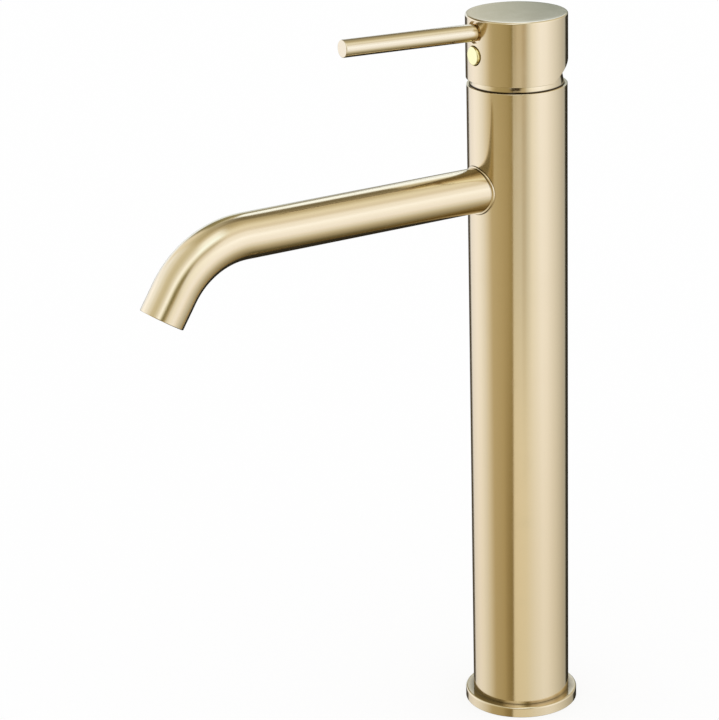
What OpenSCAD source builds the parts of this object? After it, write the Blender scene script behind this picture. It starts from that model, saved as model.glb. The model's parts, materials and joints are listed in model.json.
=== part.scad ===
// Tall single-lever basin mixer. Origin: centre of the foot on the deck. +Z up, spout and lever point to -Y.
// The cartridge is modelled with its ceramic discs, so the lever really opens and mixes.

/* [Column and foot] */
// Outer diameter of the column
column_d = 45; // [44:0.5:50]
// Height of the column's rim above the deck
column_h = 299.5; // [220:0.5:340]
// Wall of the column tube
column_wall = 1.6; // [1.2:0.1:1.8]
// Diameter of the foot flange
flange_d = 52.5; // [51.5:0.5:70]
// Thickness of the foot flange
flange_h = 5; // [4:0.5:8]
// Bore of the foot flange, which the mounting block fills
flange_bore_d = 35.9; // [34:0.1:37]
// Height of the spigot that centres the column on the flange
spigot_h = 4; // [3:0.5:8]
// Width of the seal ring under the flange
seal_w = 2; // [1.2:0.1:2.4]
// Thickness of the seal ring under the flange
seal_h = 2; // [1:0.1:2.5]

/* [Mounting block] */
// Height of the brass block in the foot
block_h = 27; // [24:1:40]
// Tapping diameter of the stud hole (M8)
stud_hole_d = 6.8; // [5:0.1:8.5]
// Depth of the stud hole
stud_hole_depth = 15; // [8:1:22]
// Distance of the stud hole behind the axis
stud_hole_y = 11.5; // [9:0.5:13]
// Tapping diameter of the two supply inlets (M10 x 1)
inlet_d = 9; // [8:0.1:9.4]
// Depth of the supply inlets
inlet_depth = 11; // [8:0.5:12]

/* [Risers] */
// Outer diameter of the riser tubes
riser_d = 8; // [7:0.1:8.6]
// Bore of the riser tubes
riser_bore_d = 5.2; // [4:0.1:5.6]
// Diameter of the riser ends, which carry the O-rings
riser_end_d = 10; // [9:0.1:10.4]
// Length of each riser end in its socket
riser_end_l = 9.4; // [7:0.1:9.4]

/* [Spout] */
// Distance of the spout's axis below the column's rim
spout_drop = 46; // [45.5:0.1:90]
// Outer diameter of the spout tube
spout_d = 20.2; // [19.4:0.1:24]
// Wall of the spout tube
spout_wall = 1.9; // [1.4:0.1:2]
// Distance from the column's axis to the start of the bend
spout_run = 141.5; // [70:0.5:220]
// Radius of the bend, at the tube's centre
bend_r = 40; // [28:0.5:60]
// Angle of the bend
bend_angle = 58; // [30:1:85]
// Straight length after the bend
spout_end = 13; // [13:0.5:40]
// Width of the thin collar round the spout, at the column
collar_w = 0.8; // [0.5:0.1:3]
// Height of the collar over the column's face
collar_h = 0.6; // [0.4:0.1:3]
// Outer diameter of the nipple that ties the spout to the valve body
nipple_d = 15.2; // [13.5:0.1:15.8]
// Bore of the nipple
nipple_bore_d = 10.4; // [7:0.1:10.8]
// Length of the nipple inside the spout
nipple_reach = 11; // [6:0.5:30]

/* [Aerator] */
// Diameter of the aerator's thread
aerator_d = 17.2; // [16.8:0.1:17.6]
// Length of the aerator's housing
aerator_l = 10; // [8:0.5:11]
// Wall of the aerator's housing
aerator_wall = 1.2; // [0.8:0.1:1.6]
// Distance of the aerator inside the mouth
aerator_inset = 0.3; // [0.1:0.1:1]
// Diameter of each jet hole
jet_d = 1.7; // [1:0.1:1.9]
// Distance between jet holes
jet_pitch = 2.2; // [2.1:0.1:2.6]
// Rings of jet holes round the middle one
jet_rings = 2; // [1:1:2]

/* [Valve body] */
// Depth of the valve body below the spout's axis
body_below_spout = 16; // [15.5:0.5:30]
// Diameter of the two inlet passages
inlet_passage_d = 4.4; // [3.6:0.1:4.8]
// Diameter of the outlet passage
outlet_passage_d = 6.4; // [5:0.1:6.6]
// Distance of each inlet port from the middle plane
inlet_port_x = 6.4; // [6.2:0.1:6.6]
// Distance of the inlet ports before the axis
inlet_port_y = 5.8; // [5.6:0.1:6]
// Distance of the outlet port behind the axis
outlet_port_y = 5; // [4.6:0.1:5.4]
// Depth of thread shared by the valve body and the neck ring
neck_thread_l = 9; // [7:0.5:9]

/* [Cartridge] */
// Outer diameter of the cartridge
cartridge_d = 34.8; // [34.2:0.1:34.9]
// Wall of the cartridge housing
housing_wall = 1.7; // [1.2:0.1:1.8]
// Outer diameter of the housing's neck
housing_neck_d = 27.2; // [26.2:0.1:27.4]
// Height of the housing's neck over its shoulder
housing_neck_h = 7.1; // [6:0.1:8]
// Thickness of the housing's shoulder
shoulder_h = 2.5; // [1.5:0.1:3]
// Height of the cartridge base
base_h = 5.7; // [5:0.1:7]
// Height of the base's rim, which the housing stands on
base_rim_h = 2.8; // [2:0.1:3.5]
// Thickness of the fixed ceramic disc
fixed_disc_h = 4.1; // [3:0.1:5]
// Thickness of the moving ceramic disc
moving_disc_h = 3.6; // [3.4:0.1:5]
// Diameter of the mixing pocket in the moving disc
mixing_pocket_d = 11.8; // [11:0.1:12.4]
// Depth of the mixing pocket
mixing_pocket_depth = 1.7; // [1:0.1:1.8]
// Height of the disc carrier
carrier_h = 5.1; // [4.8:0.1:6]
// Width of the carrier's guide rails
rail_w = 2; // [1.5:0.1:2.4]
// Height of the carrier's guide rails
rail_h = 2; // [1:0.1:2.4]
// Distance of each rail from the middle plane
rail_x = 10; // [9.8:0.1:10.4]
// Outer diameter of the rotor's neck
rotor_d = 22; // [21.4:0.1:22.4]
// Height of the rotor's flange
rotor_flange_h = 3.5; // [3:0.1:4]
// Height of the retaining nut's thread
nut_thread_h = 6; // [5:0.1:6.5]
// Height of the retaining nut's hexagon
nut_hex_h = 3; // [2:0.1:3.5]
// Distance across the corners of the nut's hexagon
nut_hex_d = 36; // [34:0.1:36.4]

/* [Lever and stem] */
// Distance of the lever's pivot below the column's rim
pivot_drop = 1.3; // [1:0.1:3]
// Lift of the lever from shut to fully open
lift_angle = 25; // [15:1:25]
// Turn of the lever to either side
turn_angle = 45; // [30:1:50]
// Length of the stem below the pivot
stem_arm = 12.5; // [12:0.1:12.8]
// Diameter of the ball on the stem's lower end
ball_d = 5.8; // [5:0.1:6]
// Diameter of the stem's pivot pin
pin_d = 3; // [2.4:0.1:3.6]
// Width of the stem's square top
stem_square = 7; // [6:0.1:7.4]
// Width of the stem's blade, across the pin
blade_w = 6.8; // [6:0.1:7]
// Depth of the stem's blade, front to back
blade_d = 9; // [8:0.1:9.4]
// Height of the stem's top above the pivot
stem_rise = 29.3; // [27:0.1:30.5]
// Diameter of the handle hub
hub_d = 45.5; // [44.5:0.1:50]
// Height of the handle hub
hub_h = 29; // [28.5:0.5:40]
// Gap between the column's rim and the hub
hub_gap = 3; // [2.2:0.1:4]
// Edge break on the hub's top and the lever's tip
edge_break = 0.4; // [0.2:0.1:1]
// Slope of the relief under the back of the hub
relief_angle = 29; // [28:1:34]
// Start of the relief behind the axis
relief_y = 3.8; // [2:0.1:3.8]
// Diameter of the lever rod
lever_d = 7.8; // [6.5:0.1:9]
// Distance of the lever's tip from the column's axis
lever_reach = 90; // [60:1:130]
// Height of the lever's axis over the hub's underside, at the column's axis
lever_z = 21.9; // [20.5:0.1:22.4]
// Upward slope of the lever
lever_slope = 2; // [0:0.5:4]
// Diameter of the lever's threaded root (M6)
lever_root_d = 6; // [4:0.1:6.2]
// Diameter of the plug under the lever
plug_d = 8.4; // [7.4:0.1:8.6]
// Height of the plug's axis over the hub's underside
plug_z = 12.3; // [12:0.1:12.6]
// Amount that the plug stands proud
plug_proud = 0.9; // [0.4:0.1:1.5]
// Diameter of the grub screw (M5)
grub_d = 5; // [4:0.1:5.2]
// Length of the grub screw
grub_l = 8; // [6:0.5:12]

/* [Neck ring] */
// Diameter of the neck ring's ball face
ball_ring_d = 41.68; // [41.6:0.01:41.7]
// Wall of the neck ring at its ball face
ball_ring_wall = 1.54; // [1.2:0.01:1.6]
// Wall of the neck ring's threaded skirt
skirt_wall = 1.15; // [0.9:0.05:1.2]
// Diameter of the neck ring's opening
neck_opening_d = 31; // [30.4:0.1:32]

/* [Fits] */
// Radial clearance of turning and pinned fits
running_fit = 0.05; // [0.03:0.01:0.08]
// Radial clearance of pieces that seat in each other
seat_fit = 0.1; // [0.05:0.01:0.15]
// Clearance of the hub over the ball-shaped neck ring
ball_gap = 0.36; // [0.3:0.01:0.5]
// Gap between the two ceramic discs
disc_gap = 0.02; // [0.01:0.01:0.05]
// Gap between pieces that slide past each other
slide_gap = 0.3; // [0.2:0.05:0.4]
// Free end gap at the bottom of sockets
end_gap = 0.3; // [0.2:0.1:0.5]

/* [Hidden] */
$fn = 96;
// Overrun of a cut past the face that it opens
cut = 1;

// Radii of the column's fittings
column_r = column_d / 2;
bore_r = column_r - column_wall;
fitting_r = bore_r - seat_fit;
skirt_in_r = fitting_r - skirt_wall;
body_neck_r = skirt_in_r - running_fit;

// Heights, from the rim down through the cartridge to its seat
pivot_z = column_h - pivot_drop;
ball_z = pivot_z - stem_arm;
pocket_lip = 1.3;
carrier_top_z = ball_z + pocket_lip;
carrier_z = carrier_top_z - carrier_h;
moving_disc_z = carrier_z - moving_disc_h;
fixed_disc_z = moving_disc_z - disc_gap - fixed_disc_h;
seat_z = fixed_disc_z - base_h;
rotor_z = carrier_top_z + slide_gap;
rotor_flange_top_z = rotor_z + rotor_flange_h;
shoulder_z = rotor_flange_top_z + seat_fit;
nut_z = shoulder_z + shoulder_h;
housing_top_z = nut_z + housing_neck_h;

// Cartridge radii
cartridge_r = cartridge_d / 2;
cavity_r = cartridge_r - housing_wall;
spigot_r = cavity_r - seat_fit;
fixed_disc_r = cavity_r - 2 * seat_fit;
cup_r = cartridge_r + seat_fit;
nut_over_r = 0.9;
nut_r = cartridge_r + nut_over_r;
rotor_r = rotor_d / 2;
rotor_bore_r = rotor_r + running_fit;
rotor_flange_r = cavity_r - slide_gap;
housing_neck_r = housing_neck_d / 2;

// The disc travels from shut, behind the axis, to open, before it
disc_travel = stem_arm * sin(lift_angle);
disc_shut_y = disc_travel / 2;
disc_r = cavity_r - disc_shut_y - seat_fit / 2;
rail_l = 10;
peg_r = 1.5;
peg_l = 1.4;
peg_x = 8;
peg_hole_l = peg_l + seat_fit;
locating_peg_r = 1.1;
locating_peg_y = fixed_disc_r - locating_peg_r;
locating_peg_h = 2.3;
base_peg_r = 1.5;
base_peg_x = 13.5;
base_peg_y = 3;
base_peg_l = 2.5;

// Ports, shared by the valve body, the base, its seals and the fixed disc: [x, y, radius]
PORTS = [
  [-inlet_port_x, -inlet_port_y, inlet_passage_d / 2],
  [inlet_port_x, -inlet_port_y, inlet_passage_d / 2],
  [0, outlet_port_y, outlet_passage_d / 2]];
port_seal_w = 1.2;
port_seal_h = 1.1;

// Stem slot in the rotor: long enough for the ball at full lift
ball_slot_gap = 0.25;
slot_half = disc_travel + ball_d / 2 + ball_slot_gap;
rotor_rise = 4.8;
rotor_top_z = pivot_z + rotor_rise;
blade_rise = 7.8;
blade_fall = 6.7;
arm_d = 4.2;
pin_inset = 0.4;
ball_fit = 0.12;

// Limit stop: a lug on the rotor between the ends of a wall on the housing's neck
stop_h = 1.8;
lug_gap = 0.2;
lug_r = housing_neck_r - lug_gap;
lug_half_angle = 12;
stop_play_angle = 0.5;
stop_half_angle = turn_angle + lug_half_angle + stop_play_angle;

// Valve body
spout_z = column_h - spout_drop;
body_z = spout_z - body_below_spout;
body_top_rise = 3.6;
body_top_z = nut_z + body_top_rise;
nut_relief_h = 0.5;
body_neck_z = body_top_z - neck_thread_l;
socket_depth = riser_end_l + end_gap;
riser_socket_r = riser_end_d / 2 + running_fit;
port_r = nipple_d / 2 + seat_fit / 2;
port_depth = 8.3;
port_end_y = fitting_r - port_depth;

// Spout
spout_r = spout_d / 2;
spout_bore_r = spout_r - spout_wall;
bend_out = spout_run + bend_r * sin(bend_angle);
bend_down = bend_r * (1 - cos(bend_angle));
mouth_y = bend_out + spout_end * cos(bend_angle);
mouth_z = spout_z - bend_down - spout_end * sin(bend_angle);
end_lap = 0.5;
end_sizing = 0.02;
aerator_r = aerator_d / 2;
aerator_bore_r = aerator_r + seat_fit / 2;
aerator_seal_h = 1;
key_slot_w = 2;
key_slot_depth = 1.2;
key_slot_lap = 0.2;
key_slot_l = 3;
aerator_pocket = aerator_inset + aerator_l + aerator_seal_h;
insert_h = 4;
insert_r = aerator_r - aerator_wall;

// O-rings: half the thickness, and the depth of their grooves
oring_r = 0.5;
groove_depth = 2 * oring_r;
groove_half = 1.1;
oring_gap = 0.02;
nipple_groove_inset = 2;
nipple_groove_pitch = 3.6;

// Handle
ball_ring_r = ball_ring_d / 2;
ball_face_z = column_h + slide_gap;
hub_r = hub_d / 2;
hub_z = column_h + hub_gap;
hub_top_z = hub_z + hub_h;
hub_cavity_r = ball_ring_r + ball_gap;
hub_boss_r = 6.8;
hub_boss_drop = 4.7;
rib_half = 4.5;
rib_reach = 14.2;
rib_drop = 2.8;
socket_fit = 0.02;
stem_socket = stem_square + 2 * socket_fit;
lever_root_r = lever_root_d / 2;
lever_axis_z = hub_z + lever_z;
lever_recess_depth = 1.25;
lever_seat = hub_r - lever_recess_depth;
lever_root_l = 9.5;
lever_recess_w = 1;
lever_recess_r = lever_d / 2 + lever_recess_w;
plug_axis_z = hub_z + plug_z;
plug_rim_w = 0.3;
plug_pocket_r = plug_d / 2 + plug_rim_w;
plug_pocket_depth = 3.5;
plug_pocket_y = hub_r - plug_pocket_depth;
plug_head_depth = 2.4;
plug_head_h = plug_proud + plug_head_depth;
plug_lap = 0.2;
plug_fit = 0.02;
// The grub screw is drawn at the middle of its thread
grub_thread_h = 0.4;
grub_r = grub_d / 2 - grub_thread_h;
grub_y = stem_square / 2;
grub_key_d = 2.9;
grub_key_depth = 2.5;

// Base flange parts
seal_mid_r = (bore_r + flange_d / 2) / 2;
seal_out_r = seal_mid_r + seal_w / 2;
seal_in_r = seal_mid_r - seal_w / 2;
block_nose_r = flange_bore_d / 2 - seat_fit;
block_z = flange_h + spigot_h;

// A tube standing on z
module tube(z, h, r_out, r_in) {
  translate([0, 0, z]) difference() {
    cylinder(h = h, r = r_out);
    translate([0, 0, -cut]) cylinder(h = h + 2 * cut, r = r_in);
  }
}

// A straight cylinder standing on z at x, y
module post(x, y, z, h, r) {
  translate([x, y, z]) cylinder(h = h, r = r);
}

// A cylinder that points to the front, from y_near to y_far before the axis
module front_post(z, y_near, y_far, r) {
  translate([0, -y_near, z]) rotate([90, 0, 0]) cylinder(h = y_far - y_near, r = r);
}

// An O-ring round +Z, in the groove of a shaft of radius shaft_r
module oring(z, shaft_r) {
  mid_r = shaft_r - groove_depth + oring_r + oring_gap;
  translate([0, 0, z]) rotate_extrude() translate([mid_r, 0]) circle(r = oring_r - oring_gap, $fn = 32);
}

// The cut that an O-ring sits in
module groove(z, shaft_r) {
  tube(z - groove_half, 2 * groove_half, shaft_r + cut, shaft_r - groove_depth);
}

// Foot

module base_flange() {
  color("#d3c4a6") difference() {
    union() {
      cylinder(h = flange_h - edge_break, r = flange_d / 2);
      translate([0, 0, flange_h - edge_break])
        cylinder(h = edge_break, r1 = flange_d / 2, r2 = flange_d / 2 - edge_break);
      cylinder(h = block_z, r = fitting_r);
    }
    post(0, 0, -cut, block_z + 2 * cut, flange_bore_d / 2);
    tube(-cut, cut + seal_h + seat_fit, seal_out_r + seat_fit, seal_in_r - seat_fit);
  }
}

module base_seal() {
  color("#26262a") tube(0, seal_h, seal_out_r, seal_in_r);
}

module column() {
  color("#dccfae") difference() {
    union() {
      post(0, 0, flange_h, column_h - flange_h - edge_break / 2, column_r);
      translate([0, 0, column_h - edge_break / 2])
        cylinder(h = edge_break / 2, r1 = column_r, r2 = column_r - edge_break / 2);
    }
    post(0, 0, flange_h - cut, column_h, bore_r);
    front_post(spout_z, 0, column_r + cut, port_r);
  }
}

module mounting_block() {
  color("#b08d4f") difference() {
    union() {
      cylinder(h = block_z + cut, r = block_nose_r);
      post(0, 0, block_z, block_h - block_z, fitting_r);
    }
    post(0, stud_hole_y, -cut, cut + stud_hole_depth, stud_hole_d / 2);
    for (side = [-1, 1]) {
      post(side * inlet_port_x, -inlet_port_y, -cut, cut + inlet_depth, inlet_d / 2);
      post(side * inlet_port_x, -inlet_port_y, 0, block_h, riser_bore_d / 2);
      post(side * inlet_port_x, -inlet_port_y, block_h - socket_depth, socket_depth + cut, riser_socket_r);
    }
  }
}

// Risers

riser_z = block_h - riser_end_l;
riser_top_z = body_z + riser_end_l;
riser_groove_inset = 4;

module riser(side) {
  translate([side * inlet_port_x, -inlet_port_y, 0]) difference() {
    union() {
      post(0, 0, riser_z, riser_end_l, riser_end_d / 2);
      post(0, 0, riser_z, riser_top_z - riser_z, riser_d / 2);
      post(0, 0, body_z, riser_end_l, riser_end_d / 2);
    }
    post(0, 0, riser_z - cut, riser_top_z - riser_z + 2 * cut, riser_bore_d / 2);
    groove(riser_z + riser_groove_inset, riser_end_d / 2);
    groove(riser_top_z - riser_groove_inset, riser_end_d / 2);
  }
}

module hot_riser() {
  color("#b87a4b") riser(-1);
}

module cold_riser() {
  color("#b87a4b") riser(1);
}

module riser_orings() {
  color("#202024")
    for (side = [-1, 1])
      for (z = [riser_z + riser_groove_inset, riser_top_z - riser_groove_inset])
        translate([side * inlet_port_x, -inlet_port_y, 0]) oring(z, riser_end_d / 2);
}

// Valve body: sockets for the risers below, the port for the spout in front, the seat and cup above

module valve_body() {
  color("#b08d4f") difference() {
    union() {
      post(0, 0, body_z, body_neck_z - body_z, fitting_r);
      post(0, 0, body_neck_z - cut, body_top_z - body_neck_z + cut, body_neck_r);
    }
    post(0, 0, seat_z, body_top_z, cup_r);
    post(0, 0, nut_z - nut_relief_h, body_top_z, nut_r + running_fit);
    for (p = PORTS) {
      foot_z = p[1] < 0 ? body_z : spout_z;
      post(p[0], p[1], foot_z, seat_z + cut - foot_z, p[2]);
    }
    for (side = [-1, 1]) {
      post(side * inlet_port_x, -inlet_port_y, body_z - cut, cut + socket_depth, riser_socket_r);
      post(side * base_peg_x, base_peg_y, seat_z - base_peg_l - end_gap, base_peg_l + end_gap + cut,
        base_peg_r + seat_fit);
    }
    front_post(spout_z, -outlet_port_y, port_end_y + cut, outlet_passage_d / 2);
    front_post(spout_z, port_end_y, column_r, port_r);
  }
}

// Spout: straight, one bend, straight again

module at_mouth() {
  translate([0, -mouth_y, mouth_z]) rotate([90 + bend_angle, 0, 0]) children();
}

// The end is sized a hair wider than the bend and laps it, so that the two join on a clean face
module spout_sweep(start, r, over) {
  front_post(spout_z, start, spout_run, r);
  translate([0, -spout_run, spout_z - bend_r])
    rotate([0, -90, 180])
      rotate_extrude(angle = bend_angle) translate([bend_r, 0]) circle(r = r);
  at_mouth() translate([0, 0, -spout_end - end_lap])
    cylinder(h = spout_end + end_lap + over, r = r + end_sizing);
}

module spout_tube() {
  color("#dccfae") difference() {
    spout_sweep(column_r - spout_r / 2, spout_r, 0);
    spout_sweep(column_r - spout_r, spout_bore_r, cut);
    at_mouth() translate([0, 0, -aerator_pocket]) cylinder(h = aerator_pocket + cut, r = aerator_bore_r);
    post(0, 0, spout_z - spout_d, 2 * spout_d, column_r);
  }
}

module spout_collar() {
  color("#e3d7b8") difference() {
    intersection() {
      front_post(spout_z, 0, column_d, spout_r + collar_w);
      post(0, 0, spout_z - spout_d, 2 * spout_d, column_r + collar_h);
    }
    post(0, 0, spout_z - spout_d, 2 * spout_d, column_r);
    front_post(spout_z, 0, column_d, spout_r);
  }
}

nipple_start = port_end_y + seat_fit;
nipple_step = column_r + seat_fit;
first_groove_y = nipple_start + nipple_groove_inset;
NIPPLE_GROOVES = [first_groove_y, first_groove_y + nipple_groove_pitch];

module spout_nipple() {
  color("#b08d4f") difference() {
    union() {
      front_post(spout_z, nipple_start, nipple_step + cut, nipple_d / 2);
      front_post(spout_z, nipple_step, nipple_step + nipple_reach, spout_bore_r - seat_fit / 2);
    }
    front_post(spout_z, 0, nipple_step + nipple_reach + cut, nipple_bore_d / 2);
    for (y = NIPPLE_GROOVES)
      translate([0, -y, spout_z]) rotate([90, 0, 0]) groove(0, nipple_d / 2);
  }
}

module nipple_orings() {
  color("#202024")
    for (y = NIPPLE_GROOVES)
      translate([0, -y, spout_z]) rotate([90, 0, 0]) oring(0, nipple_d / 2);
}

// Aerator, built along the mouth's own axis with +Z pointing out

module aerator_housing() {
  color("#c9c4b4") at_mouth() difference() {
    translate([0, 0, -aerator_inset - aerator_l]) cylinder(h = aerator_l, r = aerator_r);
    translate([0, 0, -aerator_inset - aerator_l + aerator_wall]) cylinder(h = aerator_l, r = insert_r);
    translate([0, 0, -aerator_inset - aerator_l - cut]) cylinder(h = aerator_l, r = insert_r - aerator_wall);
    for (a = [0 : 90 : 270])
      rotate([0, 0, a + 45])
        translate([insert_r - key_slot_lap, -key_slot_w / 2, -aerator_inset - key_slot_depth])
          cube([key_slot_l, key_slot_w, key_slot_l]);
  }
}

module aerator_insert() {
  row_h = jet_pitch * sin(60);
  color("#8e9094") at_mouth() translate([0, 0, -aerator_inset - key_slot_depth - insert_h]) difference() {
    cylinder(h = insert_h, r = insert_r - running_fit);
    for (row = [-jet_rings : jet_rings])
      for (i = [0 : 2 * jet_rings - abs(row)])
        translate([(i - jet_rings + abs(row) / 2) * jet_pitch, row * row_h, -cut])
          cylinder(h = insert_h + 2 * cut, r = jet_d / 2, $fn = 24);
  }
}

module aerator_seal() {
  color("#202024") at_mouth()
    tube(-aerator_pocket, aerator_seal_h, aerator_r - seat_fit, insert_r - aerator_wall);
}

// Cartridge, fixed pieces

module port_rings(z, h, grow) {
  for (p = PORTS)
    translate([p[0], p[1], 0]) tube(z, h, p[2] + port_seal_w + grow, p[2] + seat_fit - grow);
}

module cartridge_base() {
  color("#e8e6df") difference() {
    union() {
      post(0, 0, seat_z, base_rim_h, cartridge_r);
      post(0, 0, seat_z, base_h, spigot_r);
      for (side = [-1, 1]) {
        post(side * base_peg_x, base_peg_y, seat_z - base_peg_l, base_peg_l + cut, base_peg_r);
        post(0, side * locating_peg_y, seat_z + base_h - cut, cut + locating_peg_h, locating_peg_r);
      }
    }
    for (p = PORTS) {
      post(p[0], p[1], seat_z - cut, base_h + 2 * cut, p[2]);
      post(p[0], p[1], seat_z - cut, cut + port_seal_h, p[2] + port_seal_w + seat_fit);
      post(p[0], p[1], fixed_disc_z - port_seal_h, port_seal_h + cut, p[2] + port_seal_w + seat_fit);
    }
  }
}

module seat_seals() {
  color("#202024") port_rings(seat_z, port_seal_h, 0);
}

module disc_seals() {
  color("#202024") port_rings(fixed_disc_z - port_seal_h, port_seal_h, 0);
}

module fixed_disc() {
  color("#f4f2ec") difference() {
    post(0, 0, fixed_disc_z, fixed_disc_h, fixed_disc_r);
    for (p = PORTS)
      post(p[0], p[1], fixed_disc_z - cut, fixed_disc_h + 2 * cut, p[2]);
    for (side = [-1, 1])
      post(0, side * locating_peg_y, fixed_disc_z - cut, cut + locating_peg_h + seat_fit,
        locating_peg_r + seat_fit);
  }
}

// A wedge round +Z, centred on the back, from z up
module back_wedge(z, h, r, half_angle) {
  ARC = [for (a = [-1 : 0.5 : 1]) 2 * r * [sin(a * half_angle), cos(a * half_angle)]];
  translate([0, 0, z]) linear_extrude(height = h) polygon(concat([[0, 0]], ARC));
}

module cartridge_housing() {
  color("#d9d6cd") difference() {
    union() {
      post(0, 0, seat_z + base_rim_h, nut_z - seat_z - base_rim_h, cartridge_r);
      post(0, 0, nut_z - cut, housing_neck_h + cut, housing_neck_r);
      difference() {
        post(0, 0, housing_top_z - cut, cut + stop_h, housing_neck_r);
        back_wedge(housing_top_z, stop_h + cut, housing_neck_r, stop_half_angle);
      }
    }
    post(0, 0, seat_z, shoulder_z - seat_z, cavity_r);
    post(0, 0, shoulder_z - cut, housing_neck_h + shoulder_h + stop_h + 2 * cut, rotor_bore_r);
  }
}

module retaining_nut() {
  color("#b08d4f") difference() {
    union() {
      post(0, 0, nut_z, nut_thread_h, nut_r);
      translate([0, 0, nut_z + nut_thread_h]) cylinder(h = nut_hex_h, d = nut_hex_d, $fn = 6);
    }
    post(0, 0, nut_z - cut, nut_thread_h + nut_hex_h + 2 * cut, housing_neck_r + slide_gap);
  }
}

// Neck ring: a threaded skirt below and a ball face above, both round the lever's pivot

module neck_ring() {
  color("#d8c9a6") difference() {
    union() {
      post(0, 0, body_neck_z + end_gap, ball_face_z - body_neck_z - end_gap, fitting_r);
      intersection() {
        translate([0, 0, pivot_z]) sphere(r = ball_ring_r);
        post(0, 0, ball_face_z, ball_ring_r, ball_ring_d);
      }
    }
    post(0, 0, 0, body_top_z + end_gap, skirt_in_r);
    intersection() {
      translate([0, 0, pivot_z]) sphere(r = ball_ring_r - ball_ring_wall);
      post(0, 0, 0, column_h + ball_ring_d, skirt_in_r);
    }
    post(0, 0, pivot_z, ball_ring_d, neck_opening_d / 2);
  }
}

// Turning pieces

module rotor() {
  color("#eceae4") difference() {
    union() {
      post(0, 0, rotor_z, rotor_flange_h, rotor_flange_r);
      post(0, 0, rotor_flange_top_z - cut, rotor_top_z - rotor_flange_top_z + cut, rotor_r);
      intersection() {
        tube(housing_top_z + lug_gap, stop_h, lug_r, rotor_r - cut);
        back_wedge(housing_top_z, stop_h + cut, lug_r, lug_half_angle);
      }
    }
    translate([-blade_w / 2 - slide_gap, -slot_half, rotor_z - cut])
      cube([blade_w + 2 * slide_gap, 2 * slot_half, rotor_top_z - rotor_z + 2 * cut]);
    translate([-rotor_r, 0, pivot_z]) rotate([0, 90, 0]) cylinder(h = rotor_d, r = pin_d / 2);
    for (side = [-1, 1])
      translate([side * rail_x - rail_w / 2 - seat_fit, -cavity_r, rotor_z - cut])
        cube([rail_w + 2 * seat_fit, 2 * cavity_r, cut + rail_h]);
  }
}

module stem_pin() {
  pin_half = rotor_r - pin_inset;
  color("#c4c6ca") translate([-pin_half, 0, pivot_z]) rotate([0, 90, 0])
    cylinder(h = 2 * pin_half, r = pin_d / 2);
}

// Lifting pieces

module square_bar(w, d, z, h) {
  translate([-w / 2, -d / 2, z]) cube([w, d, h]);
}

module stem() {
  color("#c4c6ca") difference() {
    union() {
      translate([0, 0, ball_z]) sphere(d = ball_d);
      post(0, 0, ball_z, stem_arm - blade_fall + cut, arm_d / 2);
      square_bar(blade_w, blade_d, pivot_z - blade_fall, blade_fall + blade_rise);
      square_bar(stem_square, stem_square, pivot_z, stem_rise);
    }
    translate([-rotor_r, 0, pivot_z]) rotate([0, 90, 0]) cylinder(h = rotor_d, r = pin_d / 2 + running_fit);
  }
}

module along_lever() {
  translate([0, 0, lever_axis_z]) rotate([90 - lever_slope, 0, 0]) children();
}

module handle_hub() {
  color("#dccfae") difference() {
    union() {
      post(0, 0, hub_z, hub_h - edge_break, hub_r);
      translate([0, 0, hub_top_z - edge_break]) cylinder(h = edge_break, r1 = hub_r, r2 = hub_r - edge_break);
    }
    difference() {
      translate([0, 0, pivot_z]) sphere(r = hub_cavity_r);
      post(0, 0, plug_axis_z - hub_boss_drop, hub_h, hub_boss_r);
      translate([-rib_half, -rib_reach, plug_axis_z - rib_drop]) cube([2 * rib_half, rib_reach, hub_h]);
    }
    translate([-hub_d, relief_y, hub_z]) rotate([relief_angle, 0, 0]) translate([0, 0, -hub_d])
      cube([2 * hub_d, 2 * hub_d, hub_d]);
    square_bar(stem_socket, stem_socket, pivot_z, stem_rise + end_gap);
    front_post(plug_axis_z, plug_pocket_y, hub_d, plug_pocket_r);
    front_post(plug_axis_z, 0, hub_r, grub_r + running_fit);
    along_lever() {
      translate([0, 0, lever_seat]) cylinder(h = hub_r, r = lever_recess_r);
      translate([0, 0, lever_seat - lever_root_l - end_gap])
        cylinder(h = hub_r, r = lever_root_r + running_fit);
    }
  }
}

module lever_rod() {
  color("#dccfae") along_lever() {
    translate([0, 0, lever_seat - lever_root_l]) cylinder(h = lever_root_l + cut, r = lever_root_r);
    translate([0, 0, lever_seat]) cylinder(h = lever_reach - lever_seat - edge_break, r = lever_d / 2);
    translate([0, 0, lever_reach - edge_break])
      cylinder(h = edge_break, r1 = lever_d / 2, r2 = lever_d / 2 - edge_break);
  }
}

module grub_screw() {
  color("#4a4a4e") difference() {
    front_post(plug_axis_z, grub_y, grub_y + grub_l, grub_r);
    translate([0, -grub_y - grub_l + grub_key_depth, plug_axis_z]) rotate([90, 0, 0])
      cylinder(h = grub_key_depth + cut, d = grub_key_d, $fn = 6);
  }
}

module index_plug() {
  head_y = hub_r + plug_proud;
  color("#dcc77e") union() {
    front_post(plug_axis_z, head_y - plug_head_h, head_y, plug_d / 2);
    front_post(plug_axis_z, plug_pocket_y, head_y - plug_head_h + plug_lap, plug_pocket_r - plug_fit);
  }
}

// Disc pieces, drawn at shut

module disc_carrier() {
  color("#c3d2d8") difference() {
    union() {
      post(0, disc_shut_y, carrier_z, carrier_h, disc_r);
      for (side = [-1, 1]) {
        translate([side * rail_x - rail_w / 2, disc_shut_y - rail_l / 2, carrier_top_z - cut])
          cube([rail_w, rail_l, cut + rail_h]);
        post(side * peg_x, disc_shut_y, carrier_z - peg_l, peg_l + cut, peg_r);
      }
    }
    post(0, 0, ball_z - ball_d / 2 - end_gap, carrier_h + cut, ball_d / 2 + ball_fit);
  }
}

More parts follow.
